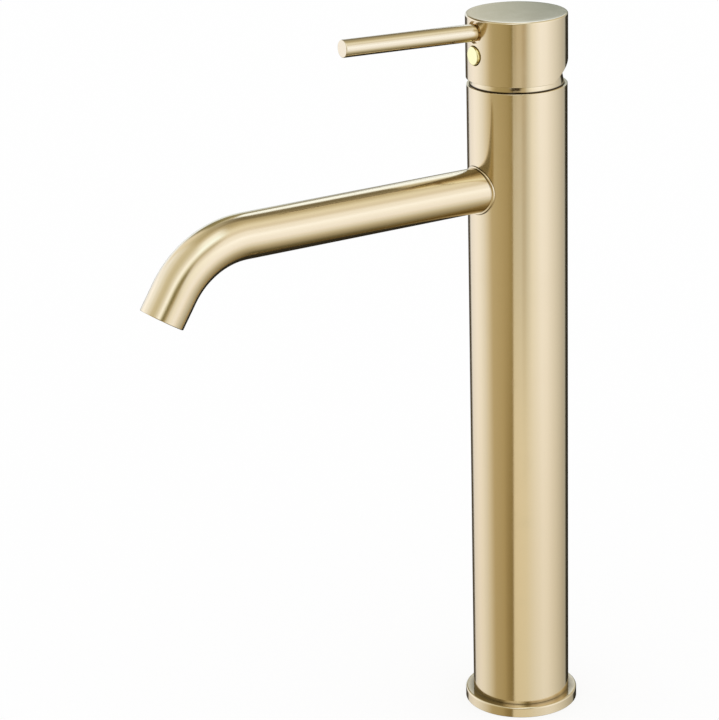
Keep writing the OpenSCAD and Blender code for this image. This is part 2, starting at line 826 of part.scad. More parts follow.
module moving_disc() {
  color("#f4f2ec") difference() {
    post(0, disc_shut_y, moving_disc_z, moving_disc_h, disc_r);
    post(0, disc_shut_y, moving_disc_z - cut, cut + mixing_pocket_depth, mixing_pocket_d / 2);
    for (side = [-1, 1])
      post(side * peg_x, disc_shut_y, carrier_z - peg_hole_l, peg_hole_l + cut, peg_r + running_fit);
  }
}

base_flange();
base_seal();
column();
mounting_block();
hot_riser();
cold_riser();
riser_orings();
valve_body();
spout_tube();
spout_collar();
spout_nipple();
nipple_orings();
aerator_housing();
aerator_insert();
aerator_seal();
cartridge_base();
seat_seals();
disc_seals();
fixed_disc();
cartridge_housing();
retaining_nut();
neck_ring();
rotor();
stem_pin();
stem();
handle_hub();
lever_rod();
grub_screw();
index_plug();
disc_carrier();
moving_disc();
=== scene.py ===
# %% [markdown]
# # A tall basin mixer in satin gold
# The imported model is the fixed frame: it holds every piece at its real size, from the foot on the deck to
# the lever. This lesson gives each visible piece a smooth skin and each material its own fine detail.
# Nothing in the frame is moved. A smooth skin replaces a faceted one only where the eye would notice.

# %% Load the frame
import json
import math

import bmesh
import bpy
import numpy as np
from mathutils import Matrix, Vector


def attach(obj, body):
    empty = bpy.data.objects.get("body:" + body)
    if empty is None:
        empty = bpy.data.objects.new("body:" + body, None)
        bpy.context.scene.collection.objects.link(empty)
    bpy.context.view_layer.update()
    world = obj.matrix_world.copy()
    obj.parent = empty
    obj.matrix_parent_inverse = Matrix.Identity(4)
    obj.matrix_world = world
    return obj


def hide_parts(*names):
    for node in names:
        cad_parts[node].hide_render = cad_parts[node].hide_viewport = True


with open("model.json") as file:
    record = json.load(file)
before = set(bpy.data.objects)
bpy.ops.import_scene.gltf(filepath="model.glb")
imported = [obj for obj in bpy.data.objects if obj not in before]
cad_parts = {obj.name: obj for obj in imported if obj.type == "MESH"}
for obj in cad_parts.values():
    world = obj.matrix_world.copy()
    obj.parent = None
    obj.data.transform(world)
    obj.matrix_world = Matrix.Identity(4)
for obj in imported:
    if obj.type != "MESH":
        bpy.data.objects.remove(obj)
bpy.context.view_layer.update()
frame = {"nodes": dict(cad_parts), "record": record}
mm = 0.001

# %% [markdown]
# ## The camera
# The camera stands more than a metre off with a long lens and looks a little down, so that the tap's upright
# lines stay nearly upright. Its three own directions are the columns of its matrix: to the right, up, and
# backwards, since a Blender camera looks along its own -Z.

# %% Place the camera
right = Vector((0.52220338, 0.8524636, -0.02468699))
up = Vector((-0.26906733, 0.19215649, 0.94375773))
forward = Vector((-0.80926288, 0.48619101, -0.32971487))
camera_data = bpy.data.cameras.new("camera")
camera_data.lens = 144.83
camera = bpy.data.objects.new("camera", camera_data)
camera.matrix_world = Matrix((right, up, -forward)).transposed().to_4x4()
camera.location = (1.037999, -0.708915, 0.609084)
bpy.context.scene.collection.objects.link(camera)
bpy.context.scene.camera = camera
print("camera", round(camera.location.length, 3), "m from the foot")

# %% [markdown]
# ## Node helpers
# Materials and the world are graphs of nodes. A few small helpers keep the graphs short to write: one adds a
# node with its values and links, and the others are the nodes that come up again and again. Each of those
# returns its output, so that calls can be put inside each other like a formula.


# %% Short ways to add nodes
def add_node(tree, kind, inputs=None, **settings):
    """Adds a node of a kind, sets its properties, then its input values or links. Returns the node."""
    node = tree.nodes.new(kind)
    for name, value in settings.items():
        setattr(node, name, value)
    for key, value in (inputs or {}).items():
        if isinstance(value, bpy.types.NodeSocket):
            tree.links.new(value, node.inputs[key])
        else:
            node.inputs[key].default_value = value
    return node


def math_node(tree, operation, first, second=0.0, clamp=False):
    """One step of arithmetic on numbers or outputs: returns the output."""
    node = add_node(tree, "ShaderNodeMath", {0: first, 1: second}, operation=operation, use_clamp=clamp)
    return node.outputs[0]


def smooth_step(tree, value, low, high, start=0.0, end=1.0):
    """Goes from start to end as value goes from low to high, without corners."""
    node = add_node(tree, "ShaderNodeMapRange", {"Value": value, "From Min": low, "From Max": high,
                    "To Min": start, "To Max": end}, interpolation_type="SMOOTHSTEP")
    return node.outputs[0]


def mix_colors(tree, factor, first, second, blend="MIX"):
    """Mixes two colours: returns the colour output."""
    node = add_node(tree, "ShaderNodeMix", {"Factor": factor}, data_type="RGBA", blend_type=blend)
    for socket, value in ((node.inputs[6], first), (node.inputs[7], second)):
        if isinstance(value, bpy.types.NodeSocket):
            tree.links.new(value, socket)
        else:
            socket.default_value = (*value, 1.0)
    return node.outputs[2]


def color_stops(tree, value, stops, low, high, gain=1.0, interpolation="EASE"):
    """A colour ramp over a value from low to high. Each stop is (value, colour), in the value's own units. A
    ramp clips at 1, so the colours are divided by gain."""
    factor = math_node(tree, "DIVIDE", math_node(tree, "SUBTRACT", value, low), high - low, clamp=True)
    node = add_node(tree, "ShaderNodeValToRGB", {"Fac": factor})
    node.color_ramp.interpolation = interpolation
    elements = node.color_ramp.elements
    while len(elements) < len(stops):
        elements.new(0.5)
    # All places first and then all colours, since Blender keeps the stops sorted by place.
    for element, (place, _) in zip(elements, stops):
        element.position = (place - low) / (high - low)
    for element, (_, color) in zip(elements, stops):
        element.color = (*[c / gain for c in color], 1.0)
    return node.outputs["Color"]


print("helpers ready")

# %% [markdown]
# ## The studio
# Metal is mostly what it reflects, so the studio round it matters as much as its colour. The tap stands in
# a white tent: pale walls, a warm brown board beside the camera, a darker skirt below and a roof that falls
# off towards the back. The tent is built in the world as a colour for each direction, which is free of noise.
# Only glossy rays see it. The camera sees plain white, and matt surfaces are lit evenly, so that colours look
# as they are written.
#
# A direction is a bearing and an elevation, both in degrees. The bearing is 0 from the tap to the camera, 90 to
# the camera's right and 180 behind the tap. The tables hold levels of red, green and blue, where 1 is white.

# %% Levels of the walls
# Walls and heights are each divided by TENT_GAIN, and the light's strength makes up for both.
TENT_GAIN = 2.0
CAMERA_TURN = math.radians(31.0)
# The walls, by bearing. The step from -17 to -15 is the edge of the brown board. The narrow dip at 180 is a
# dark seam straight behind the tap.
WALL = [
    (-180, (0.34, 0.35, 0.34)), (-178.4, (0.40, 0.41, 0.41)), (-176, (0.84, 0.91, 0.96)),
    (-166, (0.90, 1.00, 1.15)), (-140, (1.02, 1.05, 1.20)), (-118, (1.18, 1.23, 1.47)),
    (-104, (1.15, 1.20, 1.39)), (-90, (1.00, 1.03, 1.14)), (-79, (0.88, 0.86, 0.83)),
    (-66, (0.64, 0.57, 0.41)), (-42, (0.57, 0.49, 0.31)), (-28, (0.50, 0.42, 0.25)),
    (-21, (0.43, 0.35, 0.18)), (-16.9, (0.32, 0.26, 0.12)), (-14.6, (1.00, 0.96, 0.88)),
    (14, (1.02, 1.01, 0.97)), (33, (1.07, 1.10, 1.20)), (52, (1.17, 1.23, 1.46)), (66, (1.14, 1.19, 1.39)),
    (88, (0.95, 0.98, 1.09)), (104, (0.80, 0.82, 0.88)), (120, (0.64, 0.64, 0.66)),
    (134, (0.54, 0.56, 0.58)), (150, (0.42, 0.45, 0.43)), (176.0, (0.30, 0.335, 0.32)),
    (176.8, (0.37, 0.40, 0.37)), (177.8, (0.67, 0.69, 0.65)), (178.9, (0.62, 0.64, 0.62)),
    (179.7, (0.36, 0.37, 0.36)), (180, (0.34, 0.35, 0.34))]
# What the walls are multiplied by, by elevation: the skirt is below, the full wall above.
HEIGHT = [
    (-90, (0.03, 0.03, 0.02)), (-66, (0.06, 0.05, 0.02)), (-60, (0.20, 0.17, 0.09)),
    (-54, (0.38, 0.33, 0.21)), (-46, (0.50, 0.45, 0.32)), (-37, (0.67, 0.62, 0.48)),
    (-29, (0.80, 0.80, 0.73)), (-24, (0.88, 0.84, 0.76)), (-19, (0.97, 0.96, 0.93)),
    (-14, (1.00, 1.00, 1.00)), (-3, (1.05, 1.06, 1.06)), (12, (1.14, 1.18, 1.22)), (33, (0.92, 0.90, 0.84)),
    (90, (0.92, 0.90, 0.84))]
# The wall by the camera leans: each degree of elevation from LEAN_START moves it by LEAN_RATE degrees, and no
# further after LEAN_LIMIT of them. The lean is full within a bearing of 30 and gone beyond 50.
LEAN_START, LEAN_LIMIT, LEAN_RATE, LEAN_REACH = -19.0, 6.0, 0.69, (50, 30)
print("wall levels:", len(WALL), "round and", len(HEIGHT), "up")

# %% Build the walls in the world
world = bpy.data.worlds.new("studio")
bpy.context.scene.world = world
world.use_nodes = True
tree = world.node_tree
tree.nodes.clear()
direction = add_node(tree, "ShaderNodeTexCoord").outputs["Generated"]
turned = add_node(tree, "ShaderNodeMapping", {"Vector": direction, "Rotation": (0, 0, CAMERA_TURN)},
                  vector_type="VECTOR")
part = add_node(tree, "ShaderNodeSeparateXYZ", {"Vector": turned.outputs[0]})
azimuth = math_node(tree, "DEGREES", math_node(tree, "ARCTAN2", part.outputs[1], part.outputs[0]))
elevation = math_node(tree, "DEGREES", math_node(tree, "ARCSINE", part.outputs[2]))
lean = math_node(tree, "MINIMUM", math_node(tree, "SUBTRACT", elevation, LEAN_START), LEAN_LIMIT)
lean = math_node(tree, "MULTIPLY", math_node(tree, "MULTIPLY", lean, LEAN_RATE),
                 smooth_step(tree, math_node(tree, "ABSOLUTE", azimuth), *LEAN_REACH))
leant = math_node(tree, "SUBTRACT", azimuth, lean)
wall = color_stops(tree, leant, WALL, -180, 180, TENT_GAIN, "LINEAR")
height = color_stops(tree, elevation, HEIGHT, -90, 90, TENT_GAIN, "LINEAR")
tent = mix_colors(tree, 1.0, wall, height, "MULTIPLY")
print("walls of", len(tree.nodes), "nodes")

# %% [markdown]
# The roof is three sheets side by side, from the left in front to the right behind, which lap softly. Each is
# lit in bands. A place on the roof is given by its distances from straight above, in degrees: across the
# sheets' bands, along ROOF_BEARING, and from sheet to sheet, at a right angle to it and a little askew.

# %% Levels of the roof
ROOF_FRONT = [
    (-60, (1.12, 1.20, 1.42)), (-40, (0.95, 0.98, 1.02)), (-20, (0.78, 0.76, 0.66)),
    (-8, (0.74, 0.72, 0.61)), (4, (0.82, 0.82, 0.75)), (16, (1.00, 1.03, 1.10)), (28, (1.27, 1.38, 1.60)),
    (34, (1.27, 1.38, 1.60)), (41, (0.95, 1.00, 0.98)), (49, (0.42, 0.40, 0.27)), (57, (0.26, 0.23, 0.11)),
    (64, (0.42, 0.38, 0.24)), (72, (0.65, 0.60, 0.46)), (78, (0.92, 0.90, 0.80)), (84, (1.10, 1.12, 1.20))]
ROOF_MIDDLE = [
    (-60, (1.00, 1.00, 1.00)), (-48, (0.92, 0.90, 0.83)), (-30, (0.69, 0.67, 0.55)),
    (-20, (0.62, 0.58, 0.44)), (-12, (0.60, 0.56, 0.42)), (-4, (0.73, 0.69, 0.59)), (3, (0.92, 0.93, 0.92)),
    (11, (1.22, 1.32, 1.50)), (33, (1.31, 1.56, 1.90)), (40, (1.00, 1.06, 1.10)), (48, (0.60, 0.58, 0.50)),
    (54, (0.78, 0.75, 0.68)), (62, (0.95, 0.96, 1.02)), (70, (1.08, 1.12, 1.27)), (80, (1.20, 1.26, 1.45))]
ROOF_BACK = [
    (-60, (0.26, 0.25, 0.16)), (-38, (0.33, 0.31, 0.18)), (-30, (0.66, 0.66, 0.58)),
    (-20, (0.82, 0.82, 0.74)), (-10, (0.60, 0.55, 0.42)), (0, (0.54, 0.49, 0.35)), (8, (0.57, 0.52, 0.38)),
    (16, (0.71, 0.66, 0.52)), (24, (0.87, 0.85, 0.75)), (32, (1.00, 1.00, 0.95)), (46, (0.92, 0.90, 0.88)),
    (60, (1.15, 1.20, 1.36)), (80, (1.20, 1.27, 1.50))]
ROOF_BEARING, ROOF_SKEW, FRONT_TO_MIDDLE, MIDDLE_TO_BACK = 50.0, 0.3, (-24, -12), (0, 12)
# The roof starts softly at these elevations, and lower by PORCH_DROP between the porch's two sides.
ROOF_EDGE, PORCH_DROP, PORCH_SIDES = (12, 24), 14.0, ((-28, -14), (20, 30))
print("roof levels:", len(ROOF_FRONT), len(ROOF_MIDDLE), len(ROOF_BACK))

# %% Build the roof
zenith = math_node(tree, "SUBTRACT", 90.0, elevation)
bearing = math_node(tree, "RADIANS", math_node(tree, "SUBTRACT", azimuth, ROOF_BEARING))
across = math_node(tree, "MULTIPLY", zenith, math_node(tree, "COSINE", bearing))
along = math_node(tree, "MULTIPLY", zenith, math_node(tree, "SINE", bearing))
along = math_node(tree, "ADD", along, math_node(tree, "MULTIPLY", across, ROOF_SKEW))
front, middle, back = (color_stops(tree, across, stops, -90, 90, TENT_GAIN)
                       for stops in (ROOF_FRONT, ROOF_MIDDLE, ROOF_BACK))
roof = mix_colors(tree, smooth_step(tree, along, *FRONT_TO_MIDDLE), front, middle)
roof = mix_colors(tree, smooth_step(tree, along, *MIDDLE_TO_BACK), roof, back)
roof = mix_colors(tree, 1.0, roof, (1 / TENT_GAIN,) * 3, "MULTIPLY")
print("with the roof", len(tree.nodes), "nodes")

# %% [markdown]
# ## Flags, gauzes and a pane
# Small things hang in the tent. Black flags stand at both sides behind the tap and draw its dark outlines.
# Gauzes dim a stretch of the tent. A bright pane behind the tap lights the faces that look up, with a dark
# batten across it for the top of the foot. Each is a patch of the tent with soft edges. A last cloth is seen
# only by rays that have met metal twice: it keeps the corner between spout and column brown.


# %% Ways to hang a thing in the tent
def window(value, rise, fall):
    """1 between two soft edges, each a pair (start, end) along the value. None leaves that side open."""
    edges = [rise, fall and fall[::-1]]
    shares = [smooth_step(tree, value, *edge) for edge in edges if edge]
    return math_node(tree, "MULTIPLY", *shares) if len(shares) == 2 else shares[0]


def patch(value, sides, heights):
    """1 inside a patch of the tent: the sides are edges of the value, the heights edges of the elevation."""
    return math_node(tree, "MULTIPLY", window(value, *sides), window(elevation, *heights))


def gauze(shade, share, color):
    """Multiplies the tent by a colour where the share is 1."""
    return mix_colors(tree, share, shade, mix_colors(tree, 1.0, shade, color, "MULTIPLY"))


def sheet(shade, share, level):
    """Puts a plain level before the tent where the share is 1."""
    return mix_colors(tree, share, shade, tuple(c / TENT_GAIN ** 2 for c in level))


print("ways to hang: gauze and sheet")

# %% What hangs where
# Each row has the edges of the bearing, the edges of the elevation, and the colour or level.
WALL_GAUZES = [  # the wall by the camera, a fold in it, its part that the hub reflects, and the board's foot
    (((-15.6, -14.0), (16, 30)), ((-21.5, -16.5), None), (0.74, 0.76, 0.78)),
    (((2, 7), (11, 17)), ((-21.5, -16.5), None), (0.84, 0.80, 0.74)),
    (((-15.6, -14.0), (8, 22)), ((-14.4, -13.9), None), (0.89, 0.79, 0.63)),
    (((-42, -26), (-17.2, -15.8)), (None, (-23, -18)), (0.82, 0.80, 0.76))]
FLAGS = [  # the right one and the left one
    (((133, 140.5), None), (None, (-1, 3)), (0.032, 0.028, 0.020)),
    ((None, (-152.5, -143.5)), (None, (-12, -8)), (0.088, 0.076, 0.060))]
PANE_SIDES = ((160, 172), (177.8, 179.6))
PANES = [  # the pane and its batten
    (PANE_SIDES, ((13, 20), (56, 64)), (1.30, 1.50, 1.84)),
    (PANE_SIDES, ((23.5, 25), (26.2, 26.8)), (0.46, 0.46, 0.46))]
HUB_HEIGHTS = ((-14.4, -13.8), (-9, -5))
SMALL_GAUZES = [  # for the notch under the hub, the neck ring's left side, and the hub's left side and middle
    (((-24, -14), (1, 10)), ((-3, 0), (8, 12)), (0.08, 0.06, 0.04)),
    (((-70, -55), (-26, -16)), ((-9, -5), (9, 14)), (0.74, 0.72, 0.62)),
    (((-70, -55), (-17, -14)), HUB_HEIGHTS, (0.84, 0.84, 0.78)),
    (((-17, -15.5), (-7, -2)), HUB_HEIGHTS, (0.78, 0.77, 0.70))]
CLOTH_SIDES, CLOTH_HEIGHTS, CLOTH_LEVEL = ((-76, -66), (-14, 4)), ((8, 18), None), (0.272, 0.256, 0.180)
print("things that hang:", len(WALL_GAUZES + FLAGS + PANES + SMALL_GAUZES) + 1)

# %% Hang them and light the world
for sides, heights, color in WALL_GAUZES:
    tent = gauze(tent, patch(leant, sides, heights), color)
for sides, heights, level in FLAGS:
    tent = sheet(tent, patch(azimuth, sides, heights), level)
porch = math_node(tree, "MULTIPLY", window(azimuth, *PORCH_SIDES), PORCH_DROP)
tent = mix_colors(tree, smooth_step(tree, math_node(tree, "ADD", elevation, porch), *ROOF_EDGE), tent, roof)
for sides, heights, level in PANES:
    tent = sheet(tent, patch(azimuth, sides, heights), level)
for sides, heights, color in SMALL_GAUZES:
    tent = gauze(tent, patch(azimuth, sides, heights), color)
light_path = add_node(tree, "ShaderNodeLightPath")
twice = math_node(tree, "GREATER_THAN", light_path.outputs["Glossy Depth"], 1.5)
cloth = math_node(tree, "MULTIPLY", twice, patch(across, CLOTH_SIDES, CLOTH_HEIGHTS))
tent = sheet(tent, cloth, CLOTH_LEVEL)
tent_light = add_node(tree, "ShaderNodeBackground", {"Color": tent, "Strength": TENT_GAIN ** 2})
white_light = add_node(tree, "ShaderNodeBackground", {"Color": (1, 1, 1, 1), "Strength": 1.0})
either = add_node(tree, "ShaderNodeMixShader", {0: light_path.outputs["Is Glossy Ray"],
                  1: white_light.outputs[0], 2: tent_light.outputs[0]})
add_node(tree, "ShaderNodeOutputWorld", {"Surface": either.outputs[0]})
bpy.context.scene.view_settings.view_transform = "Standard"
print("tent of", len(tree.nodes), "nodes")

# %% [markdown]
# ## Skins from profiles
# Every visible piece of this tap is turned on a lathe or bent from tube. Both are one idea: a closed
# profile, carried round an axis or along a path. The profile's corners get a small arc, because a real edge
# is always broken and catches a line of light, and a helper point next to each arc keeps the flat flat.


# %% Round the corners of a profile
def eased(corners, support=0.12, steps=5):
    """A closed profile from corners (r, z, radius): each corner is an arc that touches both its sides,
    with one support point before and after it. All in millimetres; runs anticlockwise or clockwise."""
    corners = np.array(corners, float)
    spots, radii = corners[:, :2], corners[:, 2]
    before = np.roll(spots, 1, 0) - spots
    after = np.roll(spots, -1, 0) - spots
    before /= np.linalg.norm(before, axis=1)[:, None]
    after /= np.linalg.norm(after, axis=1)[:, None]
    half = np.arccos(np.clip((before * after).sum(1), -1, 1)) / 2
    reach = radii / np.tan(half)
    middle = before + after
    middle /= np.linalg.norm(middle, axis=1)[:, None]
    centre = spots + middle * (radii / np.sin(half))[:, None]
    first, last = spots + before * reach[:, None] - centre, spots + after * reach[:, None] - centre
    pieces = []
    for k in range(len(spots)):
        if radii[k] <= 0:
            pieces.append(spots[k:k + 1])
            continue
        sweep = np.linspace(0, 1, steps + 1)[:, None]
        total = math.pi - 2 * half[k]
        arc = (np.sin((1 - sweep) * total) * first[k] + np.sin(sweep * total) * last[k]) / math.sin(total)
        pieces.append(np.vstack([spots[k] + before[k] * (reach[k] + support), centre[k] + arc,
                                 spots[k] + after[k] * (reach[k] + support)]))
    return np.vstack(pieces)


sample = eased([(0, 0, 0), (10, 0, 0.4), (10, 5, 0.4), (0, 5, 0)])
print("a sample profile has", len(sample), "points")


# %% Turn a grid of points into a mesh
CREASE = math.radians(32.0)


def grid_quads(rows, columns, close_rows):
    """The corners of each square of a grid of rows x columns points; columns always wrap round."""
    a = np.arange(rows if close_rows else rows - 1)[:, None]
    b = np.arange(columns)[None, :]
    up_a, up_b = (a + 1) % rows, (b + 1) % columns
    quads = np.stack([a * columns + b, a * columns + up_b, up_a * columns + up_b, up_a * columns + b], -1)
    return quads.reshape(-1, 4)


def mesh_from(name, points, quads):
    """A smooth mesh from points in millimetres and quads, with doubled points at poles merged."""
    mesh = bpy.data.meshes.new(name)
    mesh.vertices.add(len(points))
    mesh.vertices.foreach_set("co", (points * mm).astype(np.float32).ravel())
    mesh.loops.add(quads.size)
    mesh.loops.foreach_set("vertex_index", quads.astype(np.int32).ravel())
    mesh.polygons.add(len(quads))
    mesh.polygons.foreach_set("loop_start", np.arange(0, quads.size, 4, dtype=np.int32))
    mesh.update(calc_edges=True)
    tidy(mesh)
    return mesh


def tidy(mesh):
    """Merges doubled points, points the faces outwards, shades smooth and keeps true corners sharp."""
    work = bmesh.new()
    work.from_mesh(mesh)
    bmesh.ops.remove_doubles(work, verts=work.verts, dist=1e-7)
    bmesh.ops.dissolve_degenerate(work, edges=work.edges, dist=1e-8)
    bmesh.ops.recalc_face_normals(work, faces=work.faces)
    work.to_mesh(mesh)
    work.free()
    mesh.polygons.foreach_set("use_smooth", np.ones(len(mesh.polygons), bool))
    mesh.set_sharp_from_angle(angle=CREASE)
    mesh.update()


def turned_mesh(name, profile, steps=224, tilt=None):
    """A lathe form: the point (r, z) of the profile at angle t goes to (r cos t, r sin t, z). A profile
    that starts and ends on the axis closes itself there; any other is joined end to start. Tilt is a turn
    and a place for a form that does not stand upright."""
    t = np.linspace(0, 2 * np.pi, steps, endpoint=False)[None, :]
    r, z = profile[:, :1], profile[:, 1:]
    points = np.stack([r * np.cos(t), r * np.sin(t), z + 0 * t], -1).reshape(-1, 3)
    if tilt is not None:
        points = points @ np.array(tilt[0]).T + np.array(tilt[1])
    return mesh_from(name, points, grid_quads(len(profile), steps, profile[0, 0] + profile[-1, 0] > 0))


def add_piece(name, mesh, body, *nodes, slot="satin_gold"):
    """Links a mesh as a piece that rides on a body and stands for CAD nodes."""
    piece = bpy.data.objects.new(name, mesh)
    bpy.context.scene.collection.objects.link(piece)
    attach(piece, body)
    if nodes:
        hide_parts(*nodes)
    print(name, len(mesh.polygons), "faces")
    return piece


# %% [markdown]
# ## Foot and column
# The foot is a turned disc with a spigot that centres the column, and a groove below for its seal ring. The
# column is a length of drawn tube with a lightly broken rim. Both are lathe forms.

# %% Turn the foot and the column
COLUMN_R, BORE_R, COLUMN_TOP = 22.5, 20.9, 299.5
RIM_BEVEL, RIM_DEPTH = 0.5, 0.7
FLANGE_R, FLANGE_H = 26.25, 5.0
SPIGOT_R, SPIGOT_BORE, SPIGOT_TOP = 20.8, 17.95, 9
GROOVE_IN, GROOVE_OUT, GROOVE_H = 22.475, 24.675, 2.1
flange_profile = eased([
    (SPIGOT_BORE, 0, 0.1), (GROOVE_IN, 0, 0.1), (GROOVE_IN, GROOVE_H, 0.1), (GROOVE_OUT, GROOVE_H, 0.1),
    (GROOVE_OUT, 0, 0.1), (FLANGE_R, 0, 0.2), (FLANGE_R, FLANGE_H, 0.8), (SPIGOT_R, FLANGE_H, 0.05),
    (SPIGOT_R, SPIGOT_TOP, 0.2), (SPIGOT_BORE, SPIGOT_TOP, 0.2)], support=0.05)
foot = add_piece("foot_flange", turned_mesh("foot_flange", flange_profile), "body", "base_flange")
column_profile = eased([
    (BORE_R, FLANGE_H, 0.1), (COLUMN_R, FLANGE_H, 0.15), (COLUMN_R, COLUMN_TOP, 0.3),
    (BORE_R + RIM_BEVEL, COLUMN_TOP, 0.05), (BORE_R, COLUMN_TOP - RIM_DEPTH, 0.05)], support=0.05)
column = add_piece("column_tube", turned_mesh("column_tube", column_profile), "body", "column")

# %% [markdown]
# ## Neck ring
# The neck ring is screwed into the top of the column. Its upper face is part of a ball round the lever's
# pivot, so that the hub can tilt over it with an even gap. The ball is an arc in the profile.

# %% Turn the neck ring
PIVOT_Z, BALL_R, INNER_R, NECK_R = 298.2, 20.84, 19.3, 15.5
SKIRT_R, SKIRT_BORE, SKIRT_LOW, SKIRT_TOP, SKIRT_STEP = 20.8, 19.65, 288.3, 299.75, 297.3
BALL_RISE, INNER_START = 1.6, -0.04


def ball_arc(radius, angles):
    """Points (r, z) of a profile on a ball round the lever's pivot, at angles above the pivot's level."""
    return np.stack([radius * np.cos(angles), PIVOT_Z + radius * np.sin(angles)], -1)


ring_profile = np.vstack([
    [(SKIRT_BORE, SKIRT_LOW), (SKIRT_R, SKIRT_LOW), (SKIRT_R, SKIRT_TOP)],
    ball_arc(BALL_R, np.linspace(math.asin(BALL_RISE / BALL_R), math.acos(NECK_R / BALL_R), 40)),
    ball_arc(INNER_R, np.linspace(math.acos(NECK_R / INNER_R), INNER_START, 32)),
    [(SKIRT_BORE, SKIRT_STEP)]])
neck = add_piece("neck_ball_ring", turned_mesh("neck_ball_ring", ring_profile), "body", "neck_ring")

# %% [markdown]
# ## Spout
# The spout is one tube: straight out of the column, bent once, straight again to the mouth. A tube is a
# circle carried along a path. Here the outer skin, the rounded lip, the seat of the aerator and the bore
# are one closed sheet, so the tube has a real wall. Its first and last rings follow the column's round face.

# %% Sweep the spout
SPOUT_Z, SPOUT_R, SPOUT_BORE, SEAT_R, SEAT_DEPTH = 253.5, 10.1, 8.2, 8.65, 11.3
SPOUT_RUN, BEND_R, BEND_ANGLE, SPOUT_END = 141.5, 40.0, math.radians(58), 13.0
BEND_LENGTH = BEND_R * BEND_ANGLE
MOUTH_S = SPOUT_RUN + BEND_LENGTH + SPOUT_END
LIP_S = MOUTH_S - 1
# Rows of points along the spout: one clear of the column, then evenly to the bend, round it and to the mouth.
CLEAR_S, EVEN_S, RUN_ROWS, BEND_ROWS, END_ROWS = 26.0, 30.0, 24, 57, (8.0, 2.0)


def spout_path(s):
    """Where the middle of the spout is after a length s, and the direction that is up for its circle."""
    turn = np.clip((s - SPOUT_RUN) / BEND_R, 0, BEND_ANGLE)
    straight = np.minimum(s, SPOUT_RUN)
    tail = np.maximum(s - SPOUT_RUN - BEND_LENGTH, 0)
    y = -(straight + BEND_R * np.sin(turn) + tail * np.cos(turn))
    z = SPOUT_Z - BEND_R * (1 - np.cos(turn)) - tail * np.sin(turn)
    return np.stack([0 * y, y, z], -1), np.stack([0 * y, -np.sin(turn), np.cos(turn)], -1)


def spout_skin(rows, columns=160):
    """Rows of (length, radius, hug): a point is the path's middle plus radius times (cos t, sin t) across
    the path. Where hug is 1 the length is measured from the column's round face instead."""
    s, r, hug = (rows[:, k][:, None] for k in range(3))
    t = np.linspace(0, 2 * np.pi, columns, endpoint=False)[None, :]
    face = np.sqrt(COLUMN_R ** 2 - (r * np.cos(t)) ** 2)
    middle, over = spout_path(s + hug * face)
    across = np.stack([np.cos(t), 0 * t, 0 * t], -1) + 0 * middle
    points = middle + r[..., None] * (across + np.sin(t)[..., None] * over)
    return points.reshape(-1, 3), grid_quads(len(rows), columns, True)


bend_s = SPOUT_RUN + np.linspace(0, BEND_LENGTH, BEND_ROWS)[1:]
outer_s = np.concatenate([[CLEAR_S], np.linspace(EVEN_S, SPOUT_RUN, RUN_ROWS), bend_s,
                          MOUTH_S - np.array(END_ROWS)])
bore_s = outer_s[:-len(END_ROWS)][::-1]
seat_s = MOUTH_S - SEAT_DEPTH
lip = eased([(LIP_S, SPOUT_R, 0), (MOUTH_S, SPOUT_R, 0.3), (MOUTH_S, SEAT_R, 0.25), (LIP_S, SEAT_R, 0)],
            support=0.08)
outline = np.vstack([
    [(0, SPOUT_R)], np.stack([outer_s, 0 * outer_s + SPOUT_R], -1), lip[:-1],
    [(seat_s + 0.1, SEAT_R), (seat_s, SEAT_R), (seat_s, SPOUT_BORE)],
    np.stack([bore_s, 0 * bore_s + SPOUT_BORE], -1), [(0, SPOUT_BORE)]])
hugging = np.zeros(len(outline))
hugging[[0, -1]] = 1
points, quads = spout_skin(np.column_stack([outline, hugging]))
spout = add_piece("spout_pipe", mesh_from("spout_pipe", points, quads), "body", "spout_tube")


# %% [markdown]
# A thin collar covers the joint of spout and column. It is a ring whose small section follows the
# column's round face all the way, so its height above that face never changes.


# %% Fit the collar
COLLAR_R, COLLAR_RISE, COLLAR_EDGE = SPOUT_R + 0.8, 0.6, 0.2


def collar_mesh(name, columns=160):
    """Each point is rho from the spout's axis and h above the column's face: x = rho cos t,
    z = rho sin t, and y is where the round face of radius column + h has that x."""
    ring = eased([(SPOUT_R, 0, 0.05), (COLLAR_R, 0, 0.05), (COLLAR_R, COLLAR_RISE, COLLAR_EDGE),
                  (SPOUT_R, COLLAR_RISE, 0.05)], support=0.03)
    rho, h = ring[:, :1], ring[:, 1:]
    t = np.linspace(0, 2 * np.pi, columns, endpoint=False)[None, :]
    x = rho * np.cos(t)
    y = -np.sqrt((COLUMN_R + h) ** 2 - x ** 2)
    points = np.stack([x, y, SPOUT_Z + rho * np.sin(t)], -1).reshape(-1, 3)
    return mesh_from(name, points, grid_quads(len(ring), columns, True))


collar = add_piece("spout_joint_ring", collar_mesh("spout_joint_ring"), "body", "spout_collar")


# %% [markdown]
# ## Handle hub
# The hub is a thick turned cap. A ball-shaped hollow sits over the neck ring, its underside is cut away at
# a slant behind, so that it can tilt, and two round pockets in front hold the lever and the plug. It is made
# as it would be in a workshop: turn the blank first, then cut with round tools. The mouths of the pockets are
# eased: each tool flares where it leaves the hub's round side.

# %% Turn the blank
HUB_R, HUB_Z, HUB_TOP, HUB_EDGE, HOLLOW_R = 22.75, 302.5, 331.5, 0.7, 21.2
BOSS_R, BOSS_Z, BOSS_EDGE = 6.8, 310.1, 0.1
